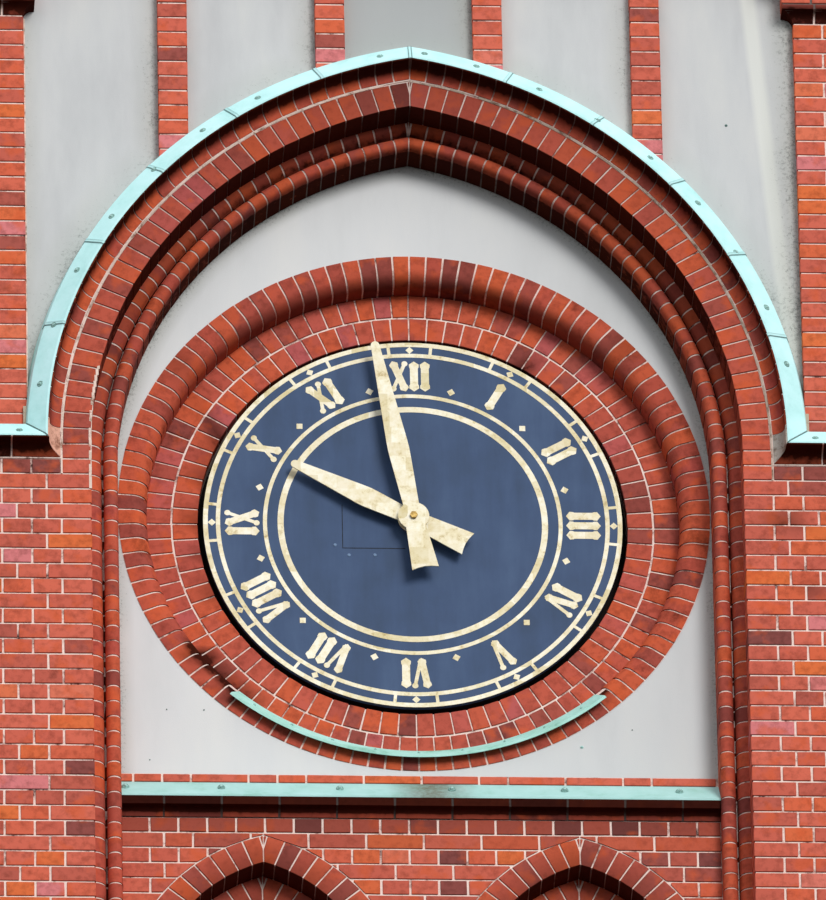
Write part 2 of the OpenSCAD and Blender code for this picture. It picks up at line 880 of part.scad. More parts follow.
// Close a right edge with its mirror image
module both_sides(edge) {
    last = len(edge) - 1;
    polygon(concat(edge,
        [for (i = [last : -1 : 0]) if (edge[i][0] > 0.001) [-edge[i][0], edge[i][1]]]));
}

// A hand has a blade, a tail and a round hub between them
module hand(length, belly, turn, near) {
    translate([0, face_y + near + hand_t, dial_z]) rotate([90, 0, 0]) rotate(-turn) {
        linear_extrude(hand_t) both_sides(blade_edge(length, belly));
        linear_extrude(hand_t) both_sides(tail_edge());
        cylinder(h = hand_t, r = hub_r);
    }
}

module hour_hand() {
    color(gold) difference() {
        hand(hour_len, hour_belly, hour_turn, hour_d);
        turned(arbor_r + 1, 0, dial_d);
    }
}

module minute_hand() {
    color(gold) hand(minute_len, minute_belly, minute_turn, minute_d);
}

module hand_nut() {
    color(brass) translate([0, face_y + minute_d - nut_t, dial_z]) rotate([-90, 0, 0])
        cylinder(h = nut_t, r = nut_af / sqrt(3), $fn = 6);
}

base_wall();
lancet_wall();
clock_wall();
tympanum_wall();
side_wall(-1);  // left_wall
side_wall(1);  // right_wall
upper_wall(-1);  // upper_wall_left
upper_wall(1);  // upper_wall_right
pier(-1);  // left_pier
pier(1);  // right_pier
impost(-1);  // impost_left
impost(1);  // impost_right
closing_wall();
outer_order(-1);  // outer_order_left
outer_order(1);  // outer_order_right
roll_order(-1);  // roll_order_left
roll_order(1);  // roll_order_right
jamb(-1);  // jamb_left
jamb(1);  // jamb_right
label(-1);  // label_left
label(1);  // label_right
string(-1);  // string_left
string(1);  // string_right
copper_side(-1);  // copper_left
copper_side(1);  // copper_right
mullions();
panel_plaster();
tympanum();
ring_roll();
ring_flat();
ring_apron();
sill_mould();
sill_copper();
lancet_ring(-1);  // lancet_ring_left
lancet_ring(1);  // lancet_ring_right
lancet_plaster();
dial();
dial_gilding();
numerals();
bearing_tube();
hour_pipe();
hour_hand();
minute_arbor();
minute_hand();
hand_nut();
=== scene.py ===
import math
import random
from functools import partial

import bmesh
import bpy
from mathutils import Matrix, Vector, noise
from mathutils.bvhtree import BVHTree


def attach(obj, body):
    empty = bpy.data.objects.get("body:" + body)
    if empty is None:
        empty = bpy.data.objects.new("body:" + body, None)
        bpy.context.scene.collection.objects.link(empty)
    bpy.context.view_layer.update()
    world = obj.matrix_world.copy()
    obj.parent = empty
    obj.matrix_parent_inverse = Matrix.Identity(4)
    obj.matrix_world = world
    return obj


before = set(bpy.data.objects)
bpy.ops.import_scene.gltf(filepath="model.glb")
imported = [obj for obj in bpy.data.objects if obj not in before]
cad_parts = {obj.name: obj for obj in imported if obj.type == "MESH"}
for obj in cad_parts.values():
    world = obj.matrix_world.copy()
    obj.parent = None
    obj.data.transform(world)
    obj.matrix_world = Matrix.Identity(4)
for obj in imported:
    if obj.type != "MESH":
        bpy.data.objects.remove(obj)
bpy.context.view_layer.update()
noise.seed_set(7)  # so that the wear of the bricks is the same on every run

# Metres in the frame of the CAD part. A depth is measured from the wall face into the wall, a
# course is counted from the centre of the dial, and a radius of the arch from its own centres.
wall = {"face": -0.385, "depth": 0.77, "half": 2.2125, "bay": 1.7025, "top": 6.375,
        "base": 0.375, "dial": 3.6, "sill": 2.025, "recess": 1.426, "inner": 1.301,
        "reveal": 0.145, "panel": 0.044, "tympanum": 0.305}
arch = {"shift": 0.344, "spring": 3.75, "string": 3.745, "roll": 1.645, "soffit": 1.77,
        "order": 1.89, "lip": 1.964, "copper": 2.0565, "count": 32}
brick = {"course": 0.075, "joint": 0.01, "bed": 0.0075, "high": 0.0675, "header": 0.12,
         "bat": 0.185, "stretcher": 0.25, "back": 0.02, "proud": 0.005, "arris": 0.0022,
         "wear": 0.0016}
rows = {"foot": -48, "jamb": -43, "sill": -21, "string": 1, "pier": 3, "impost": 31, "top": 34,
        "end": 37}
proud, joint, sides = brick["proud"], brick["joint"], (-1, 1)

# Soot gathered in places: x, height, radius and strength
soot = [(-0.96, 2.91, 0.07, 2.6), (-0.885, 2.825, 0.07, 2.6), (-0.83, 2.76, 0.07, 2.5),
        (-0.78, 2.695, 0.07, 2.2), (-0.86, 4.02, 0.09, 1.0), (-0.93, 3.85, 0.09, 0.9),
        (-0.96, 3.62, 0.08, 0.8), (-0.90, 3.26, 0.08, 0.8), (0.52, 4.415, 0.075, 1.5),
        (-1.79, 3.10, 0.06, 0.9), (1.71, 3.05, 0.06, 1.1), (1.62, 3.40, 0.09, 0.9),
        (-0.87, 4.14, 0.05, 0.9), (-0.94, 3.43, 0.05, 0.9), (0.95, 4.45, 0.10, 0.6),
        (-1.02, 4.35, 0.12, 0.5), (-2.0, 2.6, 0.08, 0.5), (1.95, 2.2, 0.07, 0.6)]


def linear(hexText):
    # sRGB hex text as linear red, green, blue and alpha
    values = [int(hexText[i:i + 2], 16) / 255 for i in (0, 2, 4)]
    return [v / 12.92 if v <= 0.04045 else ((v + 0.055) / 1.055) ** 2.4 for v in values] + [1]


def feed(node, inputs):
    # Sets or links inputs by name or number, or a list of them in order. A node stands for its
    # first output in use, and a text for the piece's own attribute.
    for name, value in inputs.items() if isinstance(inputs, dict) else enumerate(inputs):
        if isinstance(value, str):
            value = addNode(node.id_data, "Attribute", attribute_name=value).outputs["Fac"]
        if isinstance(value, bpy.types.Node):
            value = next(s for s in value.outputs if s.enabled)
        if isinstance(value, bpy.types.NodeSocket):
            node.id_data.links.new(value, node.inputs[name])
        else:
            node.inputs[name].default_value = value


def addNode(tree, kind, inputs=(), stops=(), **named):
    # The name of an input begins with a capital, and that of a setting with a small letter
    made = tree.nodes.new("ShaderNode" + kind)
    for name, value in named.items():
        if name[0].islower():
            setattr(made, name, value)
    feed(made, inputs)
    feed(made, {name: value for name, value in named.items() if name[0].isupper()})
    for index, (position, colour) in enumerate(stops):
        elements = made.color_ramp.elements
        element = elements[index] if index < 2 else elements.new(position)
        element.position, element.color = position, linear(colour)
    return made


def newMaterial(name):
    # A material, what adds nodes to it, and the coordinates in the object
    material = bpy.data.materials.new(name)
    material.use_nodes = True
    add = partial(addNode, material.node_tree)
    return material, add, add("TexCoord").outputs["Object"]


def dressed(material, colour, roughness, bump=None, others=()):
    # Sets a material's surface. A bump has its pattern, distance and strength.
    shader = material.node_tree.nodes["Principled BSDF"]
    feed(shader, {"Base Color": colour, "Roughness": roughness, **dict(others)})
    if bump:
        named = dict(zip(("Height", "Distance", "Strength"), bump))
        feed(shader, {"Normal": addNode(material.node_tree, "Bump", named)})
    return material


def sootAt(point):
    # Soot of the listed places, on the front
    if point.y > 0.5:
        return 0.0
    return max(s * max(0.0, 1 - math.hypot(point.x - x, point.z - z) / r) for x, z, r, s in soot)


def cutAway(piece, point, normal):
    # Cuts off what lies past a plane, on the side of its normal
    everything = piece.verts[:] + piece.edges[:] + piece.faces[:]
    if not everything:
        return
    made = bmesh.ops.bisect_plane(piece, geom=everything, plane_co=point, plane_no=normal,
                                  clear_outer=True, dist=1e-6)
    rim = [e for e in made["geom_cut"] if isinstance(e, bmesh.types.BMEdge)]
    if rim:
        bmesh.ops.edgenet_fill(piece, edges=rim)


def stamp(pile, piece, matrix, cuts=(), wear=brick["wear"], tone=(0, 1), dirt=None):
    # Places one small mesh in the pile: cut, worn, with its own tone and soot. A piece's own
    # painted shade, from its unplaced coordinates, is kept with its soot.
    sootAndShadeLayer = piece.verts.layers.float.new("soot")
    for vert in piece.verts:
        vert[sootAndShadeLayer] = dirt(vert.co) if dirt else 0
    bmesh.ops.transform(piece, matrix=matrix, verts=piece.verts)
    for point, normal in cuts:
        cutAway(piece, point, normal)
    rng = pile["random"]
    seed = Vector((rng.random(), rng.random(), rng.random())) * 200
    toneLayer = piece.verts.layers.float.new("tone")
    value = tone[0] + (tone[1] - tone[0]) * rng.random()
    for vert in piece.verts:
        vert[toneLayer] = value
        vert[sootAndShadeLayer] = max(vert[sootAndShadeLayer], sootAt(vert.co))
        vert.co += noise.noise_vector(vert.co * 14 + seed) * wear
    piece.to_mesh(pile["spare"])
    pile["mesh"].from_mesh(pile["spare"])
    piece.free()


def newPile(seed):
    mesh = bmesh.new()
    mesh.verts.layers.float.new("tone")
    mesh.verts.layers.float.new("soot")
    return {"mesh": mesh, "spare": bpy.data.meshes.new("spare"), "random": random.Random(seed)}


def finishPile(pile, name, material, smooth=0):
    mesh = pile["mesh"]
    bmesh.ops.recalc_face_normals(mesh, faces=mesh.faces)
    bmesh.ops.translate(mesh, vec=(0, wall["face"], 0), verts=mesh.verts)
    if smooth:
        for face in mesh.faces:
            face.smooth = True
        for edge in mesh.edges:
            edge.smooth = edge.calc_face_angle(math.pi) < math.radians(smooth)
    data = bpy.data.meshes.new(name)
    mesh.to_mesh(data)
    mesh.free()
    bpy.data.meshes.remove(pile["spare"])
    made = bpy.data.objects.new(name, data)
    bpy.context.scene.collection.objects.link(made)
    data.materials.append(material)
    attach(made, "tower_wall")


def block(pile, x, depth, z, matrix=Matrix(), cuts=(), bevel=True, taper=0, **finish):
    # One brick from its ranges in x, depth and height, with worn arrises. A taper is the
    # radius at which a voussoir has its written width.
    piece = bmesh.new()
    size = Vector((x[1] - x[0], depth[1] - depth[0], z[1] - z[0]))
    centre = Vector((x[0] + x[1], depth[0] + depth[1], z[0] + z[1])) / 2
    bmesh.ops.create_cube(piece, size=1,
                          matrix=Matrix.Translation(centre) @ Matrix.Diagonal(size).to_4x4())
    if taper:
        for vert in piece.verts:
            vert.co.z *= vert.co.x / taper
    if bevel:
        bmesh.ops.bevel(piece, geom=piece.edges[:], offset=brick["arris"], segments=1,
                        profile=0.5, affect="EDGES", material=-1)
    stamp(pile, piece, matrix, cuts, **finish)


def moulded(pile, profile, length, matrix, cuts=(), turn=0, **finish):
    # One moulded brick: a profile of radius and depth, drawn straight or round an arc
    piece = bmesh.new()
    verts = [piece.verts.new((r, d, -length / 2)) for r, d in profile]
    face = piece.faces.new(verts)
    if turn:
        bmesh.ops.rotate(piece, verts=verts, matrix=Matrix.Rotation(turn / 2, 3, "Y"))
        bmesh.ops.spin(piece, geom=[face] + face.edges[:] + verts, axis=(0, 1, 0), angle=-turn,
                       steps=1)
        if sum(len(f.verts) == len(profile) for f in piece.faces) < 2:
            bmesh.ops.edgenet_fill(piece, edges=[e for e in piece.edges if e.is_boundary])
    else:
        made = bmesh.ops.extrude_face_region(piece, geom=[face])["geom"]
        bmesh.ops.translate(piece, vec=(0, 0, length),
                            verts=[v for v in made if isinstance(v, bmesh.types.BMVert)])
    stamp(pile, piece, matrix, cuts, **finish)


def spans(length, course, scale=1.0):
    # Ends of the bricks of one course of English cross bond along a length
    ends, at = [], 0.0
    header, bat, stretcher = ((brick[k] + joint) * scale for k in ("header", "bat", "stretcher"))
    sizes = {1: [bat, header, stretcher], 3: [bat, stretcher]}.get(course % 4, [header])
    while at < length - 0.03:
        end = at + sizes[min(len(ends), len(sizes) - 1)] - joint
        if length - end < 0.045:
            end = length
        ends.append((at, end))
        at = end + joint
    return ends


def bandZ(course):
    # Foot and head of the bricks of a course
    low = wall["dial"] + course * brick["course"] + brick["bed"] / 2
    return low, low + brick["high"]


def mirrored(side):
    return Matrix.Diagonal((side, 1, 1, 1))


def moved(x, y, z):
    return Matrix.Translation((x, y, z))


def onArc(angle, side=1, x=-arch["shift"], z=arch["spring"]):
    # Radius, depth and way round an arc, for a piece at an angle from the level
    return mirrored(side) @ moved(x, 0, z) @ Matrix.Rotation(-angle, 4, "Y")


def apexCut(side, centre=0.0, gap=0.003):
    # The plane beside an apex, with what lies past it cut off
    return (centre + side * gap, 0, 0), (-side, 0, 0)


def arcLine(centreR, centreD, radius, start, end, count):
    # Points of an arc in a profile of radius and depth, with its angles in degrees
    angles = [math.radians(start + (end - start) * i / count) for i in range(count + 1)]
    return [(centreR + radius * math.cos(a), centreD + radius * math.sin(a)) for a in angles]


facing, voussoirs, rolls = newPile(11), newPile(23), newPile(37)
level = Matrix.Rotation(math.radians(-90), 4, "Y")


def facingCourse(course, start, end, side, nearEdge=0.0, farEdge=False, front=0.0, cuts=(),
                 tones=((0, 1),)):
    # A course outward from start to end. The near edge is as deep as given, and the far one
    # turns the corner in the bond.
    ends = spans(end - start, course)
    for index, (a, b) in enumerate(ends):
        x0, x1, back = start + a, start + b, front + brick["back"]
        if index == 0 and nearEdge:
            x0, back = x0 - proud, nearEdge
        if index == len(ends) - 1 and farEdge:
            x1, back = x1 + proud, front + brick["stretcher" if course % 2 == 0 else "header"]
        block(facing, (x0, x1), (front - proud, back), bandZ(course), mirrored(side), cuts,
              tone=tones[min(index, len(tones) - 1)])


for side in sides:
    for course in range(rows["jamb"], rows["string"]):
        # The course just under the string in the darkest tones, all but its first brick
        facingCourse(course, wall["recess"], wall["half"], side, wall["reveal"], True,
                     tones=((0, 1), (0.0, 0.07)) if course == 0 else ((0, 1),))
    facingCourse(rows["string"], wall["recess"], wall["recess"] + 0.12, side, wall["reveal"])
    for course in range(rows["pier"], rows["impost"]):
        cuts = [((0, 0, 3.8375), (0, 0, -1))] if course == rows["pier"] else ()
        facingCourse(course, wall["bay"], wall["half"], side, wall["panel"], True, cuts=cuts)
for first, last, reach in (("foot", "jamb", wall["half"]), ("top", "end", wall["bay"] - 0.1)):
    for course in range(rows[first], rows[last]):
        for side in sides:
            facingCourse(course, 0.005, reach, side, farEdge=first == "foot")
print("facing courses laid")

# Imposts: two cavetto courses with a plain one between, and the plain courses on top
impost = {"step": 0.05, "out": 0.1, "edge": wall["bay"] - 0.1}
cavettoProfile = arcLine(0, -0.05, 0.046, 90, 0, 6) + [
    (0.046, -0.054), (0.0675, -0.054), (0.0675, 0.02), (0.0, 0.02)]
turnInward = Matrix(((0, 1, 0, 0), (0, 0, 1, 0), (1, 0, 0, 0), (0, 0, 0, 1)))


# Painted shade: the hollow of the cavetto black, the rest of the brick a little darkened
def shadeUnderCavetto(local):
    return 0.95 if local.x < 0.06 else 0.2


for side in sides:
    for course, out in ((rows["impost"], 0.0), (rows["impost"] + 2, impost["step"])):
        low = bandZ(course)[0]
        mitre = (side * wall["bay"], 0, low)
        for a, b in spans(wall["half"] - impost["edge"], course):
            x0, x1 = impost["edge"] + a, min(impost["edge"] + b, wall["half"] + proud)
            moulded(rolls, cavettoProfile, x1 - x0,
                    mirrored(side) @ moved((x0 + x1) / 2, -out, low) @ level,
                    [(mitre, (-side, 1, 0))], tone=(0, 0.5), dirt=shadeUnderCavetto)
        moulded(rolls, cavettoProfile, 0.149,
                mirrored(side) @ moved(wall["bay"] - out, -0.03, low) @ turnInward,
                [(mitre, (side, -1, 0))], tone=(0, 0.5), dirt=shadeUnderCavetto)
    facingCourse(rows["impost"] + 1, wall["bay"] - impost["step"], wall["half"], side,
                 wall["panel"], True, -impost["step"])
    for course in range(rows["top"], rows["end"]):
        facingCourse(course, impost["edge"], wall["half"], side, wall["panel"], True,
                     -impost["out"])
print("imposts laid")


def stretchers(row, depth, z):
    # A row of stretchers over the whole width, with the joints broken from row to row
    at = -wall["half"] - (0.13 if row % 2 else 0.0)
    while at < wall["half"] - 0.05:
        end = min(at + brick["stretcher"], wall["half"])
        block(facing, (max(at, -wall["half"]), end), depth, z)
        at = end + joint


# Ends and back: plain party walls in stretchers, begun behind string and imposts
endStart = {1: 0.012, 2: -0.118, 31: 0.03, 32: 0.21, 33: 0.03, 34: 0.16, 35: 0.03, 36: 0.16}
for course in range(rows["foot"], rows["end"]):
    at = endStart.get(course, 0.13 if course % 2 else 0.26)
    while at < wall["depth"] - 0.03:
        end = min(at + brick["stretcher"], wall["depth"] + proud)
        if wall["depth"] - end < 0.06:
            end = wall["depth"] + proud
        for side in sides:
            block(facing, (wall["half"] - brick["back"], wall["half"] + proud),
                  (max(at, 0.012), end), bandZ(course), mirrored(side))
        at = end + joint
    stretchers(course, (wall["depth"] - brick["back"], wall["depth"] + proud), bandZ(course))

# Beds of the top, and bricks on edge on the slopes of the foot and of the lancets
topZ = (wall["top"] - 0.01, wall["top"] + proud)
for row in range(6):
    stretchers(row, (0.004 + row * 0.1285, 0.1235 + row * 0.1285), topZ)
for side in sides:
    for a, b in spans(wall["half"] - impost["edge"], 0):
        block(facing, (impost["edge"] + a, impost["edge"] + b), (-impost["out"], -0.006), topZ,
              mirrored(side))


def slopeBricks(middle, half, depth, foot, count, run, inside):
    # Bricks on edge up a slope, those outside the inner half width cut short
    rise = 0.145
    length = math.hypot(depth, rise)
    place = moved(0, *foot) @ Matrix.Rotation(math.atan2(rise, depth), 4, "X")
    step = 2 * half / count
    for i in range(count):
        a = middle - half + i * step + joint / 2
        reach = length - 0.004 if abs(a + step / 2 - middle) < inside else run * length
        block(facing, (a, a + step - joint), (0.003, reach), (-0.02, 0.003), place)


slopeBricks(0, wall["recess"] - 0.004, 0.23, (0.0, wall["base"]), 38, 0.56, 1.27)
print("ends, back, top and foot laid")

# Mullions: one header a course, down to the copper of the label, the lowest ones pinkish
mullion = {"x": (0.3475, 1.0425), "half": 0.06 + proud, "first": 10}
for side in sides:
    for centre in mullion["x"]:
        out = centre + arch["shift"]
        reach = math.sqrt(arch["copper"] ** 2 - out ** 2)
        angle, limit = math.atan2(reach, out), reach + arch["spring"]
        cut = (centre * side, 0, limit), (-math.cos(angle) * side, 0, -math.sin(angle))
        kept = [c for c in range(mullion["first"], rows["top"]) if bandZ(c)[1] >= limit - 0.03]
        for laid, course in enumerate(kept):
            block(facing, (centre - mullion["half"], centre + mullion["half"]), (-proud, 0.05),
                  bandZ(course), mirrored(side), [cut],
                  tone=(0.95, 0.985) if laid < 2 else (0.03, 0.94))

# The band of wall round the lancets, set back from the face
lancet = {"x": 0.685, "shift": 0.2, "clear": 0.68, "ring": 0.8, "inner": 0.56, "spring": 1.1604,
          "sill": 0.675, "front": 0.23, "step": 0.36, "end": 0.48}


def bandBrick(x0, x1, low, high, tone, grimeAndShade):
    # One brick of the band, left out, shortened or cut where a lancet is, halved over its apex
    axis, spring, reach = lancet["x"], lancet["spring"], lancet["ring"] + 0.007
    for apex in (-axis, axis):
        if x0 < apex - 0.02 and x1 > apex + 0.02 and 1.6 < low < spring + 0.78:
            bandBrick(x0, apex - 0.002, low, high, tone, grimeAndShade)
            bandBrick(apex + 0.002, x1, low, high, tone, grimeAndShade)
            return
    cuts = []
    for side in sides:
        a, b = sorted((side * x0, side * x1))
        if b < 0.02 or high < lancet["sill"]:
            continue
        if (low + high) / 2 > spring:
            far = max(abs(a - axis), abs(b - axis)) + lancet["shift"]
            if math.hypot(far, high - spring) < reach:
                return
            for flank in sides:
                # A chord between the points where the arc enters and leaves the brick
                centre = axis - flank * lancet["shift"]
                least = max(a, axis) if flank > 0 else a
                most = min(b, axis) if flank < 0 else b
                if least >= most:
                    continue
                ends = []
                for z in (high, max(low, spring)):
                    x = centre + flank * math.sqrt(max(0, reach ** 2 - (z - spring) ** 2))
                    x = min(max(x, least), most)
                    rise = math.sqrt(max(0, reach ** 2 - (x - centre) ** 2))
                    ends.append(Vector((x, 0, spring + rise)))
                along = ends[1] - ends[0]
                if along.length > 0.004:
                    inward = Vector((-along.z, 0, along.x)).normalized()
                    if inward.dot(Vector((centre, 0, spring)) - ends[0]) < 0:
                        inward.negate()
                    cuts.append((mirrored(side) @ ends[0], mirrored(side) @ inward))
        else:
            half = lancet["clear"] - lancet["shift"]
            if a > axis - half and b < axis + half:
                return
            if b > axis - half > a:
                b = axis - half + proud
            elif a < axis + half < b:
                a = axis + half - proud
            x0, x1 = sorted((side * a, side * b))
    if x1 - x0 > 0.03:
        block(facing, (x0, x1), (lancet["front"] - proud, lancet["front"] + 0.05), (low, high),
              cuts=cuts, tone=tone, dirt=lambda local: grimeAndShade)


clear = 2 * wall["inner"] - 0.01
for course in range(rows["jamb"], rows["sill"]):
    if bandZ(course)[0] < wall["base"] + 0.13:
        continue
    # Painted shade in the two courses under the sill: darker tones and blackening
    tone, grimeAndShade = {-22: ((0, 0.4), 0.4), -23: ((0, 0.9), 0.2)}.get(course, ((0, 1), 0.05))
    for a, b in spans(clear, course, 0.96):
        bandBrick(a - clear / 2, b - clear / 2, *bandZ(course), tone, grimeAndShade)
print("mullions and lancet band laid")


def roundArch(pile, middle, draw):
    # Draws the pieces round both halves of the pointed arch, cut at the apex
    top = math.acos(arch["shift"] / middle)
    for side in sides:
        for i in range(arch["count"] + 1):
            draw(pile, onArc(top * (i + 0.5) / arch["count"], side),
                 [apexCut(side)] if i > arch["count"] - 4 else [], i)


def orderBrick(pile, matrix, cuts, i):
    # Painted shade: the soffit black and the face darker, the more the nearer the apex
    soffit, face = min(1.2, 0.3 + i / 12), 0.4 * (i / arch["count"]) ** 1.5
    inner = arch["soffit"] - proud
    block(pile, (inner, arch["order"] - 0.004), (-proud, 0.15), (-0.0362, 0.0362), matrix, cuts,
          taper=1.83, dirt=lambda local: soffit if local.x < inner + 0.001 else face)


def rollBrick(pile, matrix, cuts, i):
    # Painted shade: black in the groove and on the flat behind the bowtell, the quarter roll
    # darker too, the more the nearer the apex
    def dirt(local):
        radius = math.hypot(local.x, local.z) - arch["roll"]
        most = (0.45 if radius > 0.07 else 0.12 if local.y < 0.18 else
                1.3 if radius > 0.03 else 0.85)
        return most * min(1.0, 0.15 + i / 12)

    moulded(pile, [(arch["roll"] + r, d) for r, d in rollProfile], 0, matrix, cuts,
            turn=math.acos(arch["shift"] / 1.705) / arch["count"] - 0.0048, wear=0.001,
            dirt=dirt)


# Quarter roll, groove and bowtell, a few millimetres in front of the CAD profile
rollProfile = ([(0.122, 0.1365)] + arcLine(0.12, 0.19, 0.053, 270, 187, 8)
               + [(0.067, 0.19), (0.0585, 0.19)] + arcLine(0.029, 0.169, 0.032, 350, 180, 14)
               + [(-0.003, 0.186), (-0.003, 0.299), (0.02, 0.299), (0.122, 0.215)])
roundArch(voussoirs, 1.83, orderBrick)
roundArch(rolls, 1.705, rollBrick)
for side in sides:
    for course in range(rows["jamb"], rows["string"] + 1):
        # Painted shade in the groove of the jamb rolls
        moulded(rolls, rollProfile, brick["high"],
                mirrored(side) @ moved(wall["inner"], 0, sum(bandZ(course)) / 2), wear=0.001,
                dirt=lambda local: 0.8 if local.y > 0.18 and 0.05 < local.x < 0.07 else 0.0)
print("orders and jambs laid")

# Label and string in moulded headers: cavetto under a lip, smeared over at the two corners
label = {"count": 35, "joint": 0.0035, "corner": 1.764, "header": 0.067, "bed": 0.0075,
         "mitre": arch["lip"] - arch["shift"]}
labelProfile = arcLine(1.894, -0.063, 0.055, 84, 0, 8) + [
    (1.949, -0.0965), (1.9555, -0.0965), (1.9555, -0.06), (1.93, 0.01), (1.8998, 0.01)]
labelTop = math.acos(arch["shift"] / 1.93)


def shadeUnderLip(local):
    # Painted shade: black under the lip, clean at the foot of the cavetto
    return min(1.3, max(0.0, (-0.018 - local.y) / 0.03))


patches, pointing = newPile(41), newPile(43)
for side in sides:
    patchTone = (0, 0.1) if side < 0 else (0.9, 1)
    turn = labelTop / label["count"]
    for i in range(label["count"] + 1):
        matrix = onArc(labelTop * (i + 0.5) / label["count"], side)
        if i == 0:
            moulded(patches, labelProfile, 0, matrix, turn=turn, tone=patchTone)
            continue
        # Painted shade under the lip, the more the nearer the apex
        moulded(rolls, labelProfile, 0, matrix, [apexCut(side)] if i > label["count"] - 3 else [],
                turn=turn - label["joint"],
                dirt=lambda local: shadeUnderLip(local) * (0.5 + i / label["count"]))
    moulded(patches, labelProfile, 0.0745, mirrored(side) @ moved(-arch["shift"], 0, 3.7125),
            [((side * (label["mitre"] - 0.001), 0, arch["string"]), (side, 0, -1))],
            tone=patchTone)
    ends = [(wall["recess"] + 0.12, label["corner"])]
    while ends[-1][1] < wall["half"] - 0.02:
        at = ends[-1][1] + label["bed"]
        end = at + label["header"]
        ends.append((at, wall["half"] + 0.002 if wall["half"] - end < 0.03 else end))
    # Painted shadow under the string's copper: headers dark all over, darker tones past the
    # first, blackest under the lip
    for a, b in ends:
        moulded(rolls, labelProfile, b - a,
                mirrored(side) @ moved((a + b) / 2, 0, arch["string"] - arch["lip"]) @ level,
                [((side * (label["mitre"] + 0.001), 0, arch["string"]), (-side, 0, 1))],
                tone=(0.5, 1) if a < 1.7 else (0, 0.3), dirt=lambda local: min(
                    1.6, shadeUnderLip(local) * 1.4 + (0.7 if a < 1.7 else 0.9)))

# Pointing in the angle between label and outer order, broken near the apex on both sides
pointProfile = [(1.8885, -0.0035), (1.8885, 0.02), (1.8965, 0.02), (1.8965, -0.0065)]
broken = {-1: range(76, 79), 1: range(70, 72)}
for side in sides:
    for degree in range(0, 80, 2):
        if degree not in broken[side]:
            moulded(pointing, pointProfile, 0, onArc(math.radians(degree + 1), side),
                    [apexCut(side, gap=0)] if degree > 76 else [], turn=math.radians(2.02),
                    wear=0.0022, tone=(0, 0.4) if side < 0 else (0.3, 0.9))
    moulded(pointing, pointProfile, 0.15, mirrored(side) @ moved(-arch["shift"], 0, 3.675),
            wear=0.002, tone=(0, 0.1) if side < 0 else (0.5, 0.6))
# Lime smeared down the left arris of the order and of the pier
for z in range(21):
    low = 3.527 + z * 0.03
    angle = math.asin(max(0.0, low - arch["spring"]) / arch["soffit"])
    x = arch["soffit"] * math.cos(angle) - arch["shift"]
    block(pointing, (-x - 0.0045, -x + 0.0075), (-0.0055, 0.012), (low, low + 0.0305),
          bevel=False, wear=0.0015, tone=(0, 0.4))
for z in range(24):
    low = 3.99 + z * 0.08
    block(pointing, (-wall["bay"] + 0.0035, -wall["bay"] + 0.0105), (0.001, 0.044),
          (low, low + 0.081), bevel=False, wear=0.002, tone=(0, 0.5))
for side in sides:
    block(pointing, (wall["bay"] - 0.004, wall["bay"] + 0.012), (-0.018, 0.02), (3.836, 3.93),
          mirrored(side), bevel=False, wear=0.003, tone=(0.8, 1))
print("label, string and pointing laid")

# Ring round the dial: bullnosed roll and two flat rings, each with inner and outer radius
ring = {"nose": (1.235, 0.369), "bull": 0.064, "flat": 0.432, "apron": 42.2, "count": 108,
        "rings": ((92, 1.0585, 1.1665, 0.0346), (80, 0.9405, 1.0495, 0.0357))}
noseProfile = ([(1.2935, 0.301)] + arcLine(*ring["nose"], ring["bull"] + proud, 270, 180, 10)
               + [(1.167, 0.431), (1.2, 0.431), (1.28, 0.35)])


# Painted shadow under the apron: the roll bricks black at its edge, fading outward
def shadowUnderApron(local):
    return max(0.0, 1.5 - (math.hypot(local.x, local.z) - 1.19) / 0.035)


for i in range(ring["count"]):
    angle = 2 * math.pi * (i + 0.5) / ring["count"]
    matrix = onArc(angle, 1, 0, wall["dial"])
    cuts, dirt = [], None
    if abs(angle - 1.5 * math.pi) < math.radians(ring["apron"]):
        cuts = [(matrix @ Vector((1.1985, 0, 0)), matrix.to_3x3() @ Vector((-1, 0, 0)))]
        dirt = shadowUnderApron
    moulded(rolls, noseProfile, 0, matrix, cuts, turn=2 * math.pi / ring["count"] * 0.88,
            wear=0.0012, dirt=dirt)
for count, inner, outer, half in ring["rings"]:
    for i in range(count):
        block(voussoirs, (inner, outer), (ring["flat"] - proud, ring["flat"] + 0.05),
              (-half, half), onArc(2 * math.pi * (i + 0.5) / count, 1, 0, wall["dial"]),
              taper=(inner + outer) / 2)
print("ring laid")

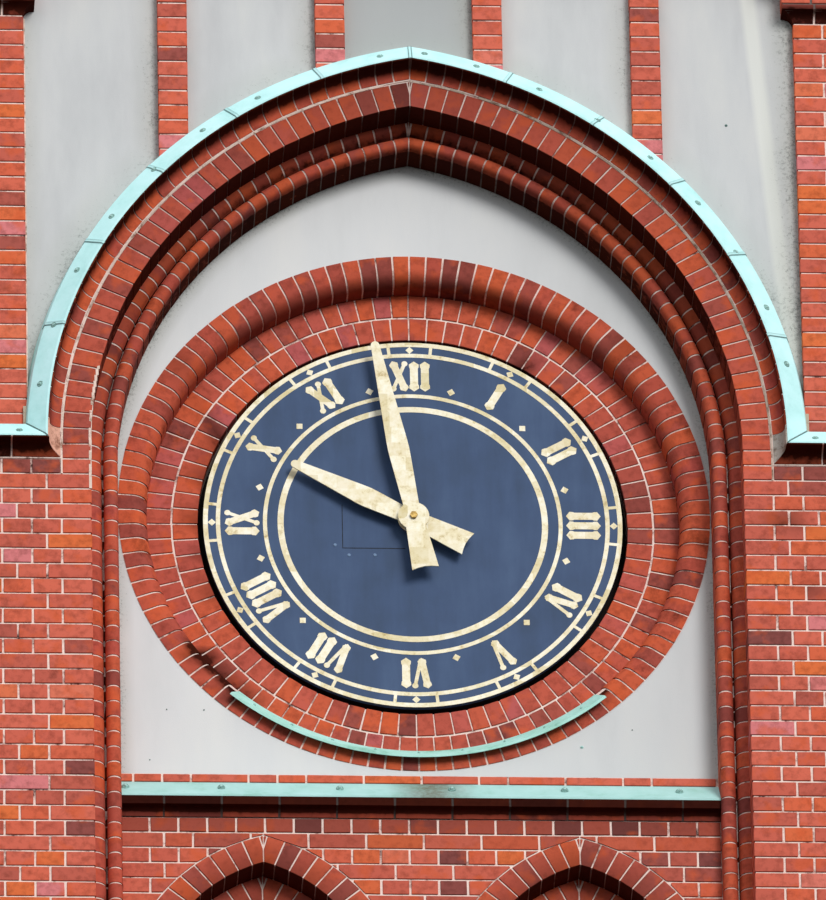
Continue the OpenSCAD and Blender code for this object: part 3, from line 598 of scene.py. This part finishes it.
# Lancets: header rings, second order, reveals and sills
orders = ((lancet["clear"], lancet["ring"], lancet["front"], lancet["step"], 13),
          (lancet["inner"], lancet["clear"] - 0.004, lancet["step"], lancet["end"], 11))
for centre in (-lancet["x"], lancet["x"]):
    for half in sides:
        for inner, outer, front, back, count in orders:
            middle = (inner + outer) / 2
            top = math.acos(lancet["shift"] / middle)
            width = top / count * middle - 0.007
            axis = moved(centre, 0, lancet["spring"]) @ mirrored(half)
            for i in range(count + 1):
                # Painted shade: soffit black, the inner edge of the face darker as if rounded,
                # more near the apex
                block(voussoirs, (inner - proud, outer), (front - proud, back),
                      (-width / 2, width / 2), axis @ moved(-lancet["shift"], 0, 0)
                      @ Matrix.Rotation(-top * (i + 0.5) / count, 4, "Y"),
                      [apexCut(half, centre)] if i > count - 4 else [], taper=middle,
                      tone=(0.05, 0.8), dirt=lambda local: (
                          1.2 if local.x < inner - proud + 0.001 else
                          0.55 if local.x < inner + 0.01 else 0.05) * min(1, 0.25 + i / count))
            x = inner - lancet["shift"]
            for course in range(-39, -32):
                low, high = bandZ(course)
                wide = 0.115 if front > 0.3 or course == -33 else brick["back"]
                block(voussoirs, (x - proud, x + wide), (front - proud, back),
                      (low, min(high, lancet["spring"] - 0.003)),
                      axis @ moved(0, 0, -lancet["spring"]))
    slopeBricks(centre, 0.474, 0.27, (lancet["front"], lancet["sill"]), 13, 0.47, 0.36)
print("lancets laid")

# Sill: brick strip over the copper, cavetto stretchers under it
sillProfile = arcLine(0.0, 0.185, 0.037, 90, 0, 6) + [
    (0.0395, 0.177), (0.078, 0.177), (0.078, 0.2), (0.02, 0.24)]
# Painted shadow under the copper: the cavetto stretchers black above, dark below
for a, b in spans(clear, -1, 0.96):
    moulded(rolls, sillProfile, b - a, moved((a + b - clear) / 2, 0, wall["sill"]) @ level,
            tone=(0, 0.5), dirt=lambda local: 1.7 if local.x > 0.02 else 0.6)
at = -clear / 2
for length in (0.06, 0.125, 0.125, 0.25, 0.125, 0.125, 0.25, 0.25, 0.25, 0.125, 0.25, 0.25,
               0.125, clear - 2.31):
    block(facing, (at, at + length - joint), (wall["tympanum"] - proud, 0.33), (2.241, 2.279),
          tone=(0.3, 0.97))
    at += length
print("sill laid")

# Copper trim: welts over the joints of the sheets at angles, dark where the sheets part, one
# side darker than the other: patina and painted shadow of the welt
welt = {"width": 0.013, "gap": 0.004,
        -1: (68, 55.5, 42.75, 29.5, 16.5), 1: (67.25, 54.5, 41.25, 28.5, 15.75)}
trim = newPile(53)
weltProfile = [(1.954, -0.1003), (1.9657, -0.1003), (2.0456, -0.0438), (2.0555, 0.0),
               (2.053, 0.0), (2.0425, -0.041), (1.9645, -0.097), (1.954, -0.097)]
seamShadowProfile = [(r + 0.0008, d - 0.0008) for r, d in weltProfile[:4]] + weltProfile[4:]
for side in sides:
    for degrees in welt[side]:
        matrix = onArc(math.radians(degrees), side)
        moulded(trim, weltProfile, welt["width"], matrix, wear=0, tone=(0.05, 0.15))
        for offset, tone in ((-welt["width"] / 2 - 0.001, 0.7), (welt["width"] / 2, 0.2)):
            moulded(trim, seamShadowProfile, welt["gap"], matrix @ moved(0, 0, offset), wear=0.0006,
                    tone=(tone, tone))
    # The upright seam at the apex: the profile stretched to the slant of the arch
    upright = Matrix(((0, 0, 1, side * 0.007), (0, 1, 0, 0),
                      (1.0148, 0, 0, arch["spring"] - 0.0595), (0, 0, 0, 1)))
    moulded(trim, seamShadowProfile, 0.003, upright, wear=0, tone=(0.7, 0.7))
    # The mitre of label and string: the profile sheared along the diagonal
    shear = Matrix(((1, 0, 0.7, 0), (0, 1, 0, 0), (1, 0, -0.7, 0), (0, 0, 0, 1)))
    moulded(trim, seamShadowProfile, 0.005, mirrored(side) @ moved(
        -arch["shift"], 0, arch["string"] - arch["lip"]) @ shear, wear=0.0005, tone=(0.85, 0.85))

# Screws with washers on label, string, sill and apron, at angles or x, and old nails in the
# plaster, at x and height with their radius
screws = {"label": {-1: (76.25, 59.5, 51, 42.5, 33.75, 24.75, 16.25, 7.5),
                    1: (78.25, 71.5, 63, 54.5, 46, 37.25, 28.75, 20, 11.5)},
          "string": (1.735, 1.985), "sill": (-1.278, -0.863, -0.349, 0.136, 0.625, 1.123),
          "apron": range(-36, 37, 9),
          "nails": ((1.394, 5.429, 0.007), (-1.092, 2.601, 0.003), (-0.93, 2.6, 0.0035),
                    (0.709, 2.432, 0.008), (-1.168, 2.35, 0.003), (0.93, 2.52, 0.003))}
fastenings = newPile(59)


def skin(node):
    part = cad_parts[node]
    return BVHTree.FromPolygons([part.matrix_world @ v.co for v in part.data.vertices],
                                [p.vertices[:] for p in part.data.polygons])


def disc(pile, radius, tip, high, matrix, tone, segments=14):
    piece = bmesh.new()
    bmesh.ops.create_cone(piece, cap_ends=True, segments=segments, radius1=radius, radius2=tip,
                          depth=high)
    stamp(pile, piece, matrix, wear=0.0004, tone=tone)


def screw(surface, point, washer=0.016, head=0.008, tones=((0.3, 0.42), (0.0, 0.1)),
          thick=0.008, lean=0.0):
    # A flat washer with a domed screw head, set on the nearest point of a surface
    out = Vector((0, wall["face"], 0))
    found, normal = surface.find_nearest(Vector(point) + out)[:2]
    turned = (normal + Vector((0, -lean, 0))).to_track_quat("Z", "Y").to_matrix().to_4x4()
    for radius, tip, high, tone in ((washer, 0.8, thick * 0.4, tones[0]),
                                    (head, 0.6, thick, tones[1])):
        disc(fastenings, radius, radius * tip, high, Matrix.Translation(found - out) @ turned
             @ moved(0, 0, high * 0.35 + lean * 0.003), tone)


bpy.context.view_layer.update()
for side, node in ((-1, "copper_left"), (1, "copper_right")):
    for degrees in screws["label"][side]:
        screw(skin(node), onArc(math.radians(degrees), side) @ Vector((2.0045, -0.07, 0)))
    for x in screws["string"]:
        screw(skin(node), (side * x, -0.078, 3.773))
for x in screws["sill"]:
    screw(skin("sill_copper"), (x, 0.2403, 2.1768), 0.017, 0.010, thick=0.014, lean=1.8)
for degrees in screws["apron"]:
    screw(skin("ring_apron"), onArc(math.radians(270 + degrees), 1, 0, wall["dial"])
          @ Vector((1.2088, 0.2915, 0)), 0.0075, 0.004, ((0.2, 0.3), (0.0, 0.1)))
for x, z, radius in screws["nails"]:
    node, depth = ("panel_plaster", 0.045) if z > 5 else ("tympanum", wall["tympanum"])
    rust = (0.0, 0.05) if radius == 0.008 else (0.5, 0.6)
    screw(skin(node), (x, depth, z), radius, radius * 0.6, (rust, rust))
print("copper trim and screws made")

# Hatch in the dial sheet: its left and bottom edges as dark lines, partly painted shadow,
# and three screws
hatch = {"x": (-0.31, -0.035), "z": (3.475, 3.695), "line": 0.0032, "depth": 0.41,
         "screws": ((-0.342, 3.492), (-0.282, 3.442), (-0.168, 3.443))}
seams = newPile(61)
for x, z in (((hatch["x"][0], hatch["x"][0] + hatch["line"]), hatch["z"]),
             (hatch["x"], (hatch["z"][0], hatch["z"][0] + hatch["line"] * 1.3))):
    block(seams, x, (hatch["depth"] - 0.0008, hatch["depth"] + 0.001), z, bevel=False,
          wear=0.0006, tone=(0, 0))
for x, z in hatch["screws"]:
    disc(seams, 0.009, 0.006, 0.004, moved(x, hatch["depth"] - 0.001, z)
         @ Matrix.Rotation(math.radians(90), 4, "X"), (1, 1), 12)

# MapRange takes its list as value, from, to, and what these two become. Mix takes its factor
# as 0 and its colours as 6 and 7.
blend = {"data_type": "RGBA"}


def shaded(add, base, pattern, stops):
    # A colour darkened in a pattern
    shade = add("ValToRGB", [pattern], stops)
    return add("Mix", {0: 1.0, 6: base, 7: shade}, blend_type="MULTIPLY", **blend)


def firedClay(name, tones, grimeAndShade, black):
    # Fired clay: every brick has its own tone, with sandy grain, pits and sooty patches, and
    # painted shade: blackened where it faces down and where its soot holds painted shade
    material, add, place = newMaterial(name)
    base = add("ValToRGB", ["tone"], tones)
    mottle = add("TexNoise", Vector=place, Scale=30, Detail=4, Roughness=0.6)
    mixed = shaded(add, base, mottle, [(0.3, "d6cfcb"), (0.55, "ffffff")])
    kiln = add("TexNoise", Vector=place, Scale=11, Detail=3)
    flashed = add("MapRange", [kiln, 0.54, 0.68, 0, 0.55])
    warm = add("Mix", {0: flashed, 6: mixed, 7: linear("d05a30")}, **blend)
    blotch = add("TexNoise", Vector=place, Scale=4.3, Detail=7, Roughness=0.72)
    sooty = add("MapRange", [blotch, 0.59, 0.76, 0, grimeAndShade])
    # Painted shade on faces turned down, added to the soot attribute
    normal = add("SeparateXYZ", [add("TexCoord").outputs["Normal"]])
    under = add("MapRange", [normal.outputs["Z"], -0.35, -0.95, 0.0, 0.6])
    gathered = add("Math", ["soot", under], operation="ADD")
    ragged = add("Math", [mottle, 1.8], operation="MULTIPLY")
    local = add("Math", [gathered, ragged], operation="MULTIPLY", use_clamp=True)
    most = add("Math", [local, 0.94], operation="MINIMUM")
    both = add("Math", [sooty, most], operation="MAXIMUM")
    dark = add("Mix", {0: both, 6: warm, 7: linear(black)}, **blend)
    grain = add("TexNoise", Vector=place, Scale=330, Detail=3)
    pits = add("TexVoronoi", Vector=place, Scale=120)
    pitted = add("MapRange", [pits, 0.08, 0.2])
    height = add("Math", [grain, pitted], operation="ADD")
    # Soot and painted shade take the gloss off
    gloss = add("MapRange", [both, 0, 1, 0.2, 0])  # soot takes the gloss off
    return dressed(material, dark, 0.82, (height, 0.0012, 0.5), {"Specular IOR Level": gloss})


def limeMortar(name, shade=0.0, rise=(3.9, 5.0), depths=()):
    # Lime mortar, pinkish, dark where it has fallen out of a joint. The shade is how black the
    # painted shade gets high up, over a range of heights and of depths from 0.1 m before the
    # wall.
    material, add, place = newMaterial(name)
    lost = add("TexNoise", Vector=place, Scale=9, Detail=8, Roughness=0.78)
    colour = add("ValToRGB", [lost], [
        (0.3, "f6e4da"), (0.52, "ead2c8"), (0.59, "bc9a90"), (0.66, "4a322e")])
    grain = add("TexNoise", Vector=place, Scale=260, Detail=4)
    if shade:
        split = add("SeparateXYZ", [place]).outputs
        high = add("MapRange", [split["Z"], *rise, 0.2, shade])
        depth = add("MapRange", [split["Y"], wall["face"] - 0.1, -wall["face"]])
        deep = add("ValToRGB", [depth], depths)
        paintedMortarShade = add("Math", [high, deep], operation="MULTIPLY")
        colour = add("Mix", {0: paintedMortarShade, 6: colour, 7: linear("1d1210")}, **blend)
    return dressed(material, colour, 0.95, (grain, 0.002, 1))


def smearedLime(name, pale, grey):
    # Lime or cement spread over the brick, each stretch with its own tone
    material, add, place = newMaterial(name)
    base = add("ValToRGB", ["tone"], [(0.0, pale), (1.0, grey)])
    thin = add("TexNoise", Vector=place, Scale=22, Detail=6, Roughness=0.7)
    mixed = shaded(add, base, thin, [(0.35, "a89488"), (0.5, "ffffff")])
    return dressed(material, mixed, 0.9, (thin, 0.004, 1))


def limePlaster(name, tones, panels):
    # Grey lime plaster with trowel clouds, and mould specks where damp lies along its edges. On
    # the tympanum, painted shade greys it towards the right.
    material, add, place = newMaterial(name)
    streaks = add("Mapping", Vector=place, Scale=(3.4, 3.4, 0.9))
    cloud = add("TexNoise", Vector=streaks, Scale=1.1, Detail=7, Roughness=0.6)
    base = add("ValToRGB", [cloud], tones)
    split = add("SeparateXYZ", [place]).outputs
    across = add("Math", [split["X"]], operation="ABSOLUTE")
    # Distance from the centres of the pointed arch, and level with them below the springing
    out = add("Math", [across, arch["shift"]], operation="ADD")
    above = add("Math", [split["Z"], arch["spring"]], operation="SUBTRACT")
    clamped = add("Math", [above, 0.0], operation="MAXIMUM")
    joined = add("CombineXYZ", X=out, Z=clamped)
    radius = add("VectorMath", [joined], operation="LENGTH")
    if panels:
        # A dustier middle panel, and a paler smear down the right one
        dustAndShade = add("MapRange", [across, 0.28, 0.40, 0.85, 0.22])
        line = add("Math", [split["Z"], 0.081, split["X"]], operation="MULTIPLY_ADD")
        off = add("Math", [line, 1.998], operation="SUBTRACT")
        away = add("Math", [off], operation="ABSOLUTE")
        smear = add("MapRange", [away, 0.02, 0.045, 0.7, 0])
        base = add("Mix", {0: smear, 6: base, 7: linear("e6e8e0")}, **blend)
        # Damp at the right edge of each panel, less at its left edge, and over the copper
        shifted = add("Math", [split["X"], 0.3475], operation="ADD")
        panel = add("Math", [shifted, 0.695], operation="FLOORED_MODULO")
        edge = add("MapRange", [panel, 0.50, 0.635])
        other = add("MapRange", [panel, 0.13, 0.06, 0, 0.5])
        low = add("MapRange", [radius, 2.22, 2.07, 0, 0.8])
        edges = add("Math", [edge, other], operation="MAXIMUM")
        damp = add("Math", [edges, low], operation="MAXIMUM")
    else:
        # Painted shade: the tympanum greyer towards the right, where the right jamb shades it
        dustAndShade = add("MapRange", [split["X"], -0.3, 1.3, 0.02, 0.32])
        damp = add("MapRange", [radius, 1.57, 1.645])
    patchy = add("TexNoise", Vector=place, Scale=2.3, Detail=3)
    where = add("Math", [damp, patchy], operation="MULTIPLY")
    specks = add("TexNoise", Vector=place, Scale=75, Detail=6, Roughness=0.85)
    raised = add("Math", [where, 0.34, specks], operation="MULTIPLY_ADD")
    mould = add("MapRange", [raised, 0.66, 0.80, 0, 0.75])
    # Greyer on the dustier middle panel, and painted shade towards the right of the tympanum
    dustAndShadeMix = add("Mix", {0: dustAndShade, 6: base, 7: linear("9fa3a3")}, **blend)
    veil = add("Mix", {0: where, 6: dustAndShadeMix, 7: linear("a3a79f")}, **blend)
    colour = add("Mix", {0: mould, 6: veil, 7: linear("5b5f5a")}, **blend)
    grain = add("TexNoise", Vector=place, Scale=240, Detail=3)
    return dressed(material, colour, 0.9, (grain, 0.001, 0.5))


def greenCopper(name, tones, stain=None):
    # Copper gone pale turquoise, greener and spotted where water stands, dark in its seams:
    # patina and painted shadow
    material, add, place = newMaterial(name)
    cloud = add("TexNoise", Vector=place, Scale=6, Detail=6, Roughness=0.65)
    base = add("ValToRGB", [cloud], tones)
    spots = add("TexNoise", Vector=place, Scale=38, Detail=6, Roughness=0.8)
    spotty = add("MapRange", [spots, 0.66, 0.74, 0, 0.7])
    rust = add("TexNoise", Vector=place, Scale=5.5, Detail=8, Roughness=0.8)
    rusty = add("MapRange", [rust, 0.68, 0.76, 0, 0.7])
    stained = add("Mix", {0: rusty, 6: base, 7: linear("b59a78")}, **blend)
    colour = add("Mix", {0: spotty, 6: stained, 7: linear("4f8173")}, **blend)
    if stain is not None:
        # A brown run where water drips from the ring
        split = add("SeparateXYZ", [place]).outputs
        off = add("Math", [split["X"], stain], operation="SUBTRACT")
        away = add("Math", [off], operation="ABSOLUTE")
        near = add("MapRange", [away, 0.02, 0.2, 1.5, 0])
        soaked = add("Math", [near, spots], operation="MULTIPLY", use_clamp=True)
        colour = add("Mix", {0: soaked, 6: colour, 7: linear("5f563e")}, **blend)
    seamsAndShadow = add("Mix", {0: "tone", 6: colour, 7: linear("1f3a35")}, **blend)
    return dressed(material, seamsAndShadow, 0.7, (cloud, 0.006, 0.5))


def goldLeaf():
    # Old gold leaf in squares of about 75 mm: each lies a little paler or browner
    material, add, place = newMaterial("gold leaf, worn")
    leaf = add("TexVoronoi", Vector=place, Scale=13, Randomness=0.35, distance="CHEBYCHEV")
    square = add("ValToRGB", [leaf.outputs["Color"]], [
        (0.1, "d6cba4"), (0.4, "e7dfc6"), (0.8, "f0ecda")])
    worn = add("TexNoise", Vector=place, Scale=24, Detail=7, Roughness=0.72)
    mixed = shaded(add, square, worn, [(0.3, "c4b184"), (0.43, "f4efdc"), (0.6, "ffffff")])
    return dressed(material, mixed, 0.5, others={"Metallic": 0.12})


def slatePaint():
    # Slate-blue paint on the dial sheets, chalking in faint clouds and rain streaks
    material, add, place = newMaterial("slate-blue paint, chalking")
    streaks = add("Mapping", Vector=place, Scale=(5, 5, 0.8))
    run = add("TexNoise", Vector=streaks, Scale=2, Detail=6, Roughness=0.6)
    cloud = add("TexNoise", Vector=place, Scale=3, Detail=6, Roughness=0.6)
    mixed = add("Math", [run, cloud], operation="ADD")
    halved = add("Math", [mixed, 0.5], operation="MULTIPLY")
    base = add("ValToRGB", [halved], [(0.36, "2a4262"), (0.5, "324b70"), (0.64, "3c5579")])
    return dressed(material, base, 0.6, others={"Specular IOR Level": 0.35})


def agedBrass():
    # Brass of the bearing, dulled brown in blotches
    material, add, place = newMaterial("brass, dulled")
    dull = add("TexNoise", Vector=place, Scale=60, Detail=5)
    base = add("ValToRGB", [dull], [(0.35, "7d6434"), (0.65, "b2965a")])
    return dressed(material, base, 0.4, others={"Metallic": 0.9})


def seamShadow():
    # Paint cracked and dirty along the joints of the dial sheets, and painted shadow by the hatch
    material, add, place = newMaterial("dirt in the dial seams")
    cloud = add("TexNoise", Vector=place, Scale=40, Detail=4)
    base = add("ValToRGB", [cloud], [(0.4, "0c121c"), (0.62, "202c3f")])
    mixed = add("Mix", {0: "tone", 6: base, 7: linear("6f88a8")}, **blend)
    return dressed(material, mixed, 0.8)


def screwMetal():
    # Washers in verdigris, screw heads darker, nails rusted brown
    material, add, place = newMaterial("screws and washers, weathered")
    spots = add("TexNoise", Vector=place, Scale=150, Detail=4)
    base = add("ValToRGB", ["tone"], [
        (0.0, "b4dcd6"), (0.3, "93c2ba"), (0.6, "4b6a64"), (0.95, "35251d")])
    mixed = shaded(add, base, spots, [(0.35, "b4b4b4"), (0.6, "ffffff")])
    return dressed(material, mixed, 0.6)


mortar = limeMortar("lime mortar, pinkish grey")
copper = greenCopper("copper sheet with pale verdigris",
                     [(0.3, "abe0df"), (0.45, "bbecec"), (0.62, "c6f2f4"), (0.8, "b1e5e4")])
finishes = {  # by the node's name, without its side
    "panel_plaster": limePlaster("lime plaster, light grey", [
        (0.3, "bfc1c3"), (0.5, "cccecf"), (0.7, "d5d6d4")], True),
    "tympanum lancet_plaster": limePlaster("lime plaster, smooth", [
        (0.3, "cfd1d2"), (0.5, "d6d8d9"), (0.7, "dbdcdb")], False),
    "copper": copper,
    "sill_copper": greenCopper("copper sheet with dull verdigris", [
        (0.3, "8fc4b8"), (0.45, "a4d3ce"), (0.62, "aedad7"), (0.8, "93c8be")], 0.05),
    "ring_apron": greenCopper("copper sheet with green verdigris", [
        (0.3, "6fae98"), (0.45, "9fd6c8"), (0.62, "b0e2da"), (0.8, "78b3a0")]),
    # These mortars take painted shade: under the arch and lip, in the rolls and lancets, round
    # the dial, under the sill
    "outer_order": limeMortar("lime mortar, painted shade under the arch", 0.9, depths=[
        (0.11, "707070"), (0.14, "ffffff")]),
    "label string impost": limeMortar("lime mortar, painted shade under the lip", 0.85, depths=[
        (0.08, "ffffff"), (0.11, "202020")]),
    "roll_order": limeMortar("lime mortar, greyed by painted shade", 0.85, depths=[
        (0.30, "9c9c9c"), (0.34, "ffffff")]),
    "clock_wall": limeMortar("lime mortar, painted shadow round the dial", 1.0, (0, 1), [
        (0.48, "000000"), (0.52, "ffffff"), (0.8, "ffffff"), (0.86, "000000")]),
    "sill_mould": limeMortar("lime mortar, painted shade under the sill", 0.96, (0, 1), [
        (0.44, "ffffff"), (0.46, "000000")]),
    "lancet_ring": limeMortar("lime mortar, painted shade in the lancets", 0.85, (1.1, 1.9), [
        (0.38, "404040"), (0.40, "ffffff")]),
    "dial_gilding numerals hour_hand minute_hand": goldLeaf(),
    "dial": slatePaint(),
    "bearing_tube hour_pipe minute_arbor hand_nut": agedBrass(),
}
for name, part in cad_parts.items():
    plain = name.removesuffix("_left").removesuffix("_right")
    part.data.materials.clear()
    part.data.materials.append(next((material for names, material in finishes.items()
                                     if plain in names.split()), mortar))

finishPile(facing, "facingBricks", firedClay("facing brick, red to orange", [
    (0.0, "7d433f"), (0.05, "9c4f46"), (0.1, "b85a4a"), (0.35, "c65f4c"), (0.6, "cf6752"),
    (0.82, "d06042"), (0.93, "d96d39"), (0.97, "d2797a")], 0.5, "301a16"))
finishPile(voussoirs, "voussoirBricks", firedClay("voussoir brick, deep red", [
    (0.0, "803d37"), (0.08, "9e4d42"), (0.2, "b25142"), (0.5, "bf5843"), (0.8, "c85a37"),
    (1.0, "b55857")], 0.7, "30120c"))
finishPile(rolls, "mouldedBricks", firedClay("moulded brick, deep red with soot and painted shade", [
    (0.0, "843d36"), (0.08, "9a493e"), (0.25, "af4d3d"), (0.55, "bd553e"), (0.85, "c95b36"),
    (1.0, "b04d44")], 0.75, "200b07"), smooth=40)
finishPile(patches, "smearedCorners", smearedLime("lime smeared over brick", "dba48d", "a5a199"),
           smooth=40)
finishPile(pointing, "pointing", smearedLime("lime pointing", "ead3c6", "a89a86"))
finishPile(trim, "copperSeams", copper)
finishPile(fastenings, "screwsAndNails", screwMetal(), smooth=30)
finishPile(seams, "dialHatch", seamShadow())
print("materials set")

# An even bright sky and a broad soft sun from the upper right. The eye and gloss see a paler
# background than the one that lights the wall.
lights = {"sky": 0.95, "sun": 2.05, "sunAngle": 0.45, "from": (0.42, -1.0, 0.42)}
sky = bpy.data.worlds.new("overcast sky")
bpy.context.scene.world = sky
sky.use_nodes = True
add, nodes = partial(addNode, sky.node_tree), sky.node_tree.nodes
rays = add("LightPath").outputs
seen = add("Math", [rays["Is Camera Ray"], rays["Is Glossy Ray"]], operation="MAXIMUM")
feed(nodes["Background"], [linear("f3f6fa"), lights["sky"]])
backdrop = add("Background", [linear("d9dcde"), 1])
feed(nodes["World Output"], [add("MixShader", [seen, nodes["Background"], backdrop])])

lamp = bpy.data.lights.new("soft sun", "SUN")
lamp.energy, lamp.angle, lamp.color = lights["sun"], lights["sunAngle"], (1.0, 0.975, 0.945)
sun = bpy.data.objects.new("softSun", lamp)
bpy.context.scene.collection.objects.link(sun)
sun.rotation_euler = Vector(lights["from"]).to_track_quat("Z", "Y").to_euler()

floorMesh = bmesh.new()
bmesh.ops.create_grid(floorMesh, x_segments=1, y_segments=1, size=40)
bmesh.ops.translate(floorMesh, vec=(0, 0, -0.001), verts=floorMesh.verts)
floorData = bpy.data.meshes.new("floor")
floorMesh.to_mesh(floorData)
floorMesh.free()
floor = bpy.data.objects.new("floor", floorData)
bpy.context.scene.collection.objects.link(floor)
# Pale to the eye, darker as a source of bounced light, and clear from below
ground, add = newMaterial("pale ground")[:2]
nodes = ground.node_tree.nodes
eye = add("LightPath").outputs["Is Camera Ray"]
tone = add("Mix", {0: eye, 6: linear("423d3a"), 7: linear("dcdcda")}, **blend)
underside = add("NewGeometry").outputs["Backfacing"]
feed(nodes["Material Output"], [add("MixShader", [
    underside, nodes["Principled BSDF"], add("BsdfTransparent")])])
floorData.materials.append(dressed(ground, tone, 1))

view = {"azimuth": -3.4346, "elevation": -30.009, "roll": -1.149, "lens": 842.28,
        "target": (0, -0.085, 3.6), "back": (-0.0048, 0.2693, 91.91)}
lens = bpy.data.cameras.new("camera")
lens.lens, lens.sensor_width, lens.clip_end = view["lens"], 36, 600
camera = bpy.data.objects.new("camera", lens)
bpy.context.scene.collection.objects.link(camera)
camera.matrix_world = moved(*view["target"])
for degrees, axis in ((view["azimuth"], "Z"), (90 - view["elevation"], "X"), (view["roll"], "Z")):
    camera.matrix_world @= Matrix.Rotation(math.radians(degrees), 4, axis)
camera.matrix_world @= moved(*view["back"])
bpy.context.scene.camera = camera
bpy.context.scene.view_settings.view_transform = "Standard"
print("lights and camera set")
